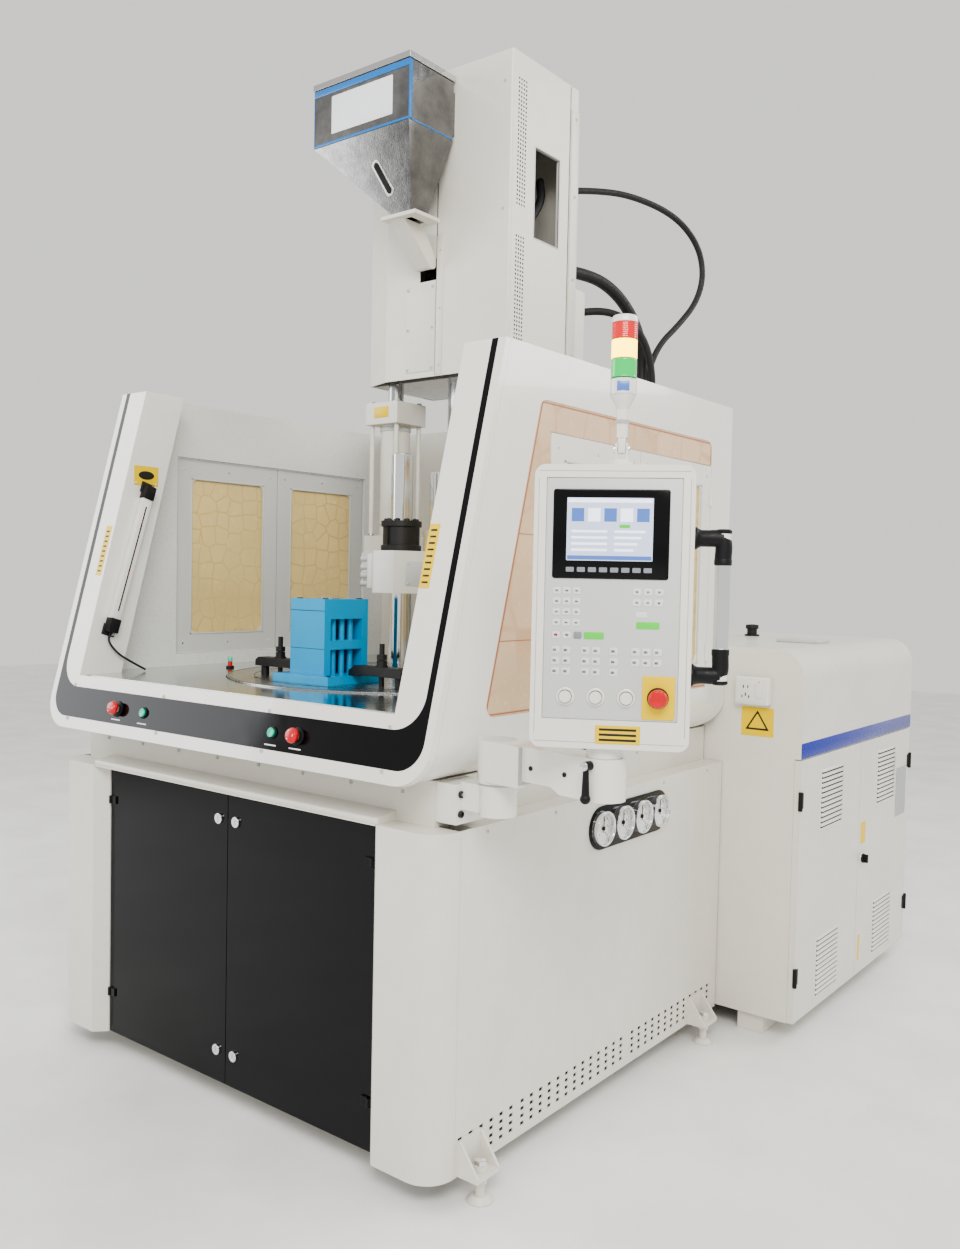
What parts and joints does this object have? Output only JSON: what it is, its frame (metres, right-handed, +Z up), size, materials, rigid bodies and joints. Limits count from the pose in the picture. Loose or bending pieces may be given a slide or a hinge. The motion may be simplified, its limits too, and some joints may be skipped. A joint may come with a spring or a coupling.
{
  "type": "vertical injection moulding machine",
  "caption": "Vertical injection moulding machine: rotary table with mould stations in an open cabin, clamp and injection tower above, rear power cabinet and swivelling operator panel.",
  "frame": {"origin": "on the floor under the axis of the rotary table", "axes": "+X to the operator's right, +Y to the rear, +Z up"},
  "size_m": [2.2967, 2.7453, 3.195],
  "materials": {
    "white_paint": "semi-gloss, warm ivory",
    "black_gloss": "high gloss",
    "blue_paint": "semi-gloss",
    "mould_blue": "satin",
    "machined_steel": "ground",
    "hard_chrome": "polished",
    "stainless": "mirror with protective film edges",
    "cast_iron": "machined",
    "amber_film": "clear sheet under amber protective film",
    "black_plastic": "fine grain",
    "red_plastic": "gloss",
    "white_plastic": "gloss",
    "grey_plastic": "satin",
    "cable_rubber": "matt"
  },
  "bodies": {
    "machine": {"base_frame": "white_paint", "corner_covers": "white_paint", "side_panels": "white_paint", "levelling_feet": "cast_iron", "skirt_cover": "white_paint", "front_frame": "white_paint", "front_band": "black_gloss", "cabin_left_wall": "white_paint", "cabin_right_wall": "white_paint", "right_fixed_pane": "amber_film", "cabin_rear_wall": "white_paint", "deck_plate": "stainless", "table_pedestal": "cast_iron", "clamp_cylinder": "cast_iron", "cabinet_body": "white_paint", "hose_trunk": "white_paint", "arm_bracket": "white_paint", "pressure_gauges": "hard_chrome"},
    "left_door": {"front_door_left": "black_gloss"},
    "right_door": {"front_door_right": "black_gloss"},
    "left_latch_upper": {"latch_left_upper": "hard_chrome"},
    "left_latch_lower": {"latch_left_lower": "hard_chrome"},
    "right_latch_upper": {"latch_right_upper": "hard_chrome"},
    "right_latch_lower": {"latch_right_lower": "hard_chrome"},
    "left_window_front": {"left_window_door_front": "grey_plastic"},
    "left_window_rear": {"left_window_door_rear": "grey_plastic"},
    "right_window_front": {"right_window_door_front": "white_paint"},
    "right_window_rear": {"right_window_door_rear": "white_paint"},
    "table": {"rotary_table": "machined_steel", "mould": "mould_blue", "mould_clamps": "cast_iron"},
    "clamp": {"clamp_platen": "white_paint", "tie_bars": "hard_chrome", "carriage_cylinders": "white_paint"},
    "injection": {"injection_unit": "machined_steel", "injection_cover": "white_paint", "hopper": "stainless", "hopper_lid": "stainless", "conduit_thin": "cable_rubber", "hose_thick": "cable_rubber", "cable_lower": "cable_rubber"},
    "cabinet_front": {"cabinet_door_front": "white_paint"},
    "cabinet_rear": {"cabinet_door_rear": "white_paint"},
    "cabinet_key": {"cabinet_lock": "black_plastic"},
    "arm": {"panel_arm": "white_paint"},
    "lever": {"arm_lever": "black_plastic"},
    "panel": {"panel_case": "white_paint"},
    "lamp": {"signal_lamp": "white_plastic"},
    "key_left": {"panel_button_left": "white_plastic"},
    "key_middle": {"panel_button_middle": "white_plastic"},
    "key_right": {"panel_button_right": "white_plastic"},
    "stop_panel": {"panel_stop": "red_plastic"},
    "stop_left": {"front_stop_left": "red_plastic"},
    "stop_right": {"front_stop_right": "red_plastic"},
    "start_left": {"front_start_left": "white_plastic"},
    "start_right": {"front_start_right": "white_plastic"},
    "needle_1": {"gauge_needle_1": "black_plastic"},
    "needle_2": {"gauge_needle_2": "black_plastic"},
    "needle_3": {"gauge_needle_3": "black_plastic"},
    "needle_4": {"gauge_needle_4": "black_plastic"}
  },
  "joints": [
    {"name": "front_door_left", "type": "hinge", "parent": "machine", "child": "left_door", "pos_m": [-0.564, -0.708, 0.5], "axis": [0, 0, 1], "range_deg": [-100, 0]},
    {"name": "front_door_right", "type": "hinge", "parent": "machine", "child": "right_door", "pos_m": [0.564, -0.708, 0.5], "axis": [0, 0, 1], "range_deg": [0, 100]},
    {"name": "latch_left_upper", "type": "hinge", "parent": "left_door", "child": "left_latch_upper", "pos_m": [-0.037, -0.703, 0.822], "axis": [0, 1, 0], "range_deg": [-90, 0]},
    {"name": "latch_left_lower", "type": "hinge", "parent": "left_door", "child": "left_latch_lower", "pos_m": [-0.037, -0.703, 0.156], "axis": [0, 1, 0], "range_deg": [-90, 0]},
    {"name": "latch_right_upper", "type": "hinge", "parent": "right_door", "child": "right_latch_upper", "pos_m": [0.037, -0.703, 0.822], "axis": [0, 1, 0], "range_deg": [0, 90]},
    {"name": "latch_right_lower", "type": "hinge", "parent": "right_door", "child": "right_latch_lower", "pos_m": [0.037, -0.703, 0.156], "axis": [0, 1, 0], "range_deg": [0, 90]},
    {"name": "left_window_front", "type": "hinge", "parent": "machine", "child": "left_window_front", "pos_m": [-0.807, -0.307, 1.5], "axis": [0, 0, 1], "range_deg": [0, 100]},
    {"name": "left_window_rear", "type": "hinge", "parent": "machine", "child": "left_window_rear", "pos_m": [-0.807, 0.6125, 1.5], "axis": [0, 0, 1], "range_deg": [-100, 0]},
    {"name": "right_window_front", "type": "hinge", "parent": "machine", "child": "right_window_front", "pos_m": [0.807, -0.307, 1.5], "axis": [0, 0, 1], "range_deg": [-100, 0]},
    {"name": "right_window_rear", "type": "hinge", "parent": "machine", "child": "right_window_rear", "pos_m": [0.807, 0.6125, 1.5], "axis": [0, 0, 1], "range_deg": [0, 100]},
    {"name": "table_turn", "type": "hinge", "parent": "machine", "child": "table", "pos_m": [0, 0, 1.15], "axis": [0, 0, 1], "range_deg": [0, 180]},
    {"name": "clamp_slide", "type": "slide", "parent": "machine", "child": "clamp", "axis": [0, 0, 1], "range_m": [-0.24, 0]},
    {"name": "injection_slide", "type": "slide", "parent": "clamp", "child": "injection", "axis": [0, 0, 1], "range_m": [-0.055, 0]},
    {"name": "cabinet_door_front", "type": "hinge", "parent": "machine", "child": "cabinet_front", "pos_m": [1.083, 0.7673, 0.5], "axis": [0, 0, 1], "range_deg": [-100, 0]},
    {"name": "cabinet_door_rear", "type": "hinge", "parent": "machine", "child": "cabinet_rear", "pos_m": [1.083, 1.935, 0.5], "axis": [0, 0, 1], "range_deg": [0, 100]},
    {"name": "cabinet_lock", "type": "hinge", "parent": "cabinet_rear", "child": "cabinet_key", "pos_m": [1.08, 1.39915, 0.503], "axis": [1, 0, 0], "range_deg": [0, 90]},
    {"name": "panel_arm", "type": "hinge", "parent": "machine", "child": "arm", "pos_m": [0.88, -0.612, 1], "axis": [0, 0, 1], "range_deg": [-40, 50]},
    {"name": "panel_swivel", "type": "hinge", "parent": "arm", "child": "panel", "pos_m": [1.19549, -0.65186, 1.15], "axis": [0, 0, 1], "range_deg": [-60, 60]},
    {"name": "arm_lever", "type": "hinge", "parent": "arm", "child": "lever", "pos_m": [1.1881, -0.7104, 1.122], "axis": [0.1253, 0.9921, 0], "range_deg": [-60, 60]},
    {"name": "lamp_fold", "type": "hinge", "parent": "panel", "child": "lamp", "pos_m": [1.21681, -0.64879, 1.796], "axis": [0.866, 0.5, 0], "range_deg": [-90, 0]},
    {"name": "panel_key_left", "type": "slide", "parent": "panel", "child": "key_left", "axis": [-0.5, 0.866, 0], "range_m": [0, 0.004], "stiffness_N_per_m": 400, "springref_m": -0.002},
    {"name": "panel_key_middle", "type": "slide", "parent": "panel", "child": "key_middle", "axis": [-0.5, 0.866, 0], "range_m": [0, 0.004], "stiffness_N_per_m": 400, "springref_m": -0.002},
    {"name": "panel_key_right", "type": "slide", "parent": "panel", "child": "key_right", "axis": [-0.5, 0.866, 0], "range_m": [0, 0.004], "stiffness_N_per_m": 400, "springref_m": -0.002},
    {"name": "panel_stop", "type": "slide", "parent": "panel", "child": "stop_panel", "axis": [-0.5, 0.866, 0], "range_m": [0, 0.005]},
    {"name": "front_stop_left", "type": "slide", "parent": "machine", "child": "stop_left", "axis": [0, 0.9688, -0.2478], "range_m": [0, 0.005]},
    {"name": "front_start_left", "type": "slide", "parent": "machine", "child": "start_left", "axis": [0, 0.9688, -0.2478], "range_m": [0, 0.004], "stiffness_N_per_m": 400, "springref_m": -0.002},
    {"name": "front_stop_right", "type": "slide", "parent": "machine", "child": "stop_right", "axis": [0, 0.9688, -0.2478], "range_m": [0, 0.005]},
    {"name": "front_start_right", "type": "slide", "parent": "machine", "child": "start_right", "axis": [0, 0.9688, -0.2478], "range_m": [0, 0.004], "stiffness_N_per_m": 400, "springref_m": -0.002},
    {"name": "gauge_needle_1", "type": "hinge", "parent": "machine", "child": "needle_1", "pos_m": [0.8158, -0.019, 0.812], "axis": [1, 0, 0], "range_deg": [-130, 130], "stiffness_Nm_per_rad": 0.002},
    {"name": "gauge_needle_2", "type": "hinge", "parent": "machine", "child": "needle_2", "pos_m": [0.8158, 0.091, 0.812], "axis": [1, 0, 0], "range_deg": [-130, 130], "stiffness_Nm_per_rad": 0.002},
    {"name": "gauge_needle_3", "type": "hinge", "parent": "machine", "child": "needle_3", "pos_m": [0.8158, 0.201, 0.812], "axis": [1, 0, 0], "range_deg": [-130, 130], "stiffness_Nm_per_rad": 0.002},
    {"name": "gauge_needle_4", "type": "hinge", "parent": "machine", "child": "needle_4", "pos_m": [0.8158, 0.311, 0.812], "axis": [1, 0, 0], "range_deg": [-130, 130], "stiffness_Nm_per_rad": 0.002}
  ]
}
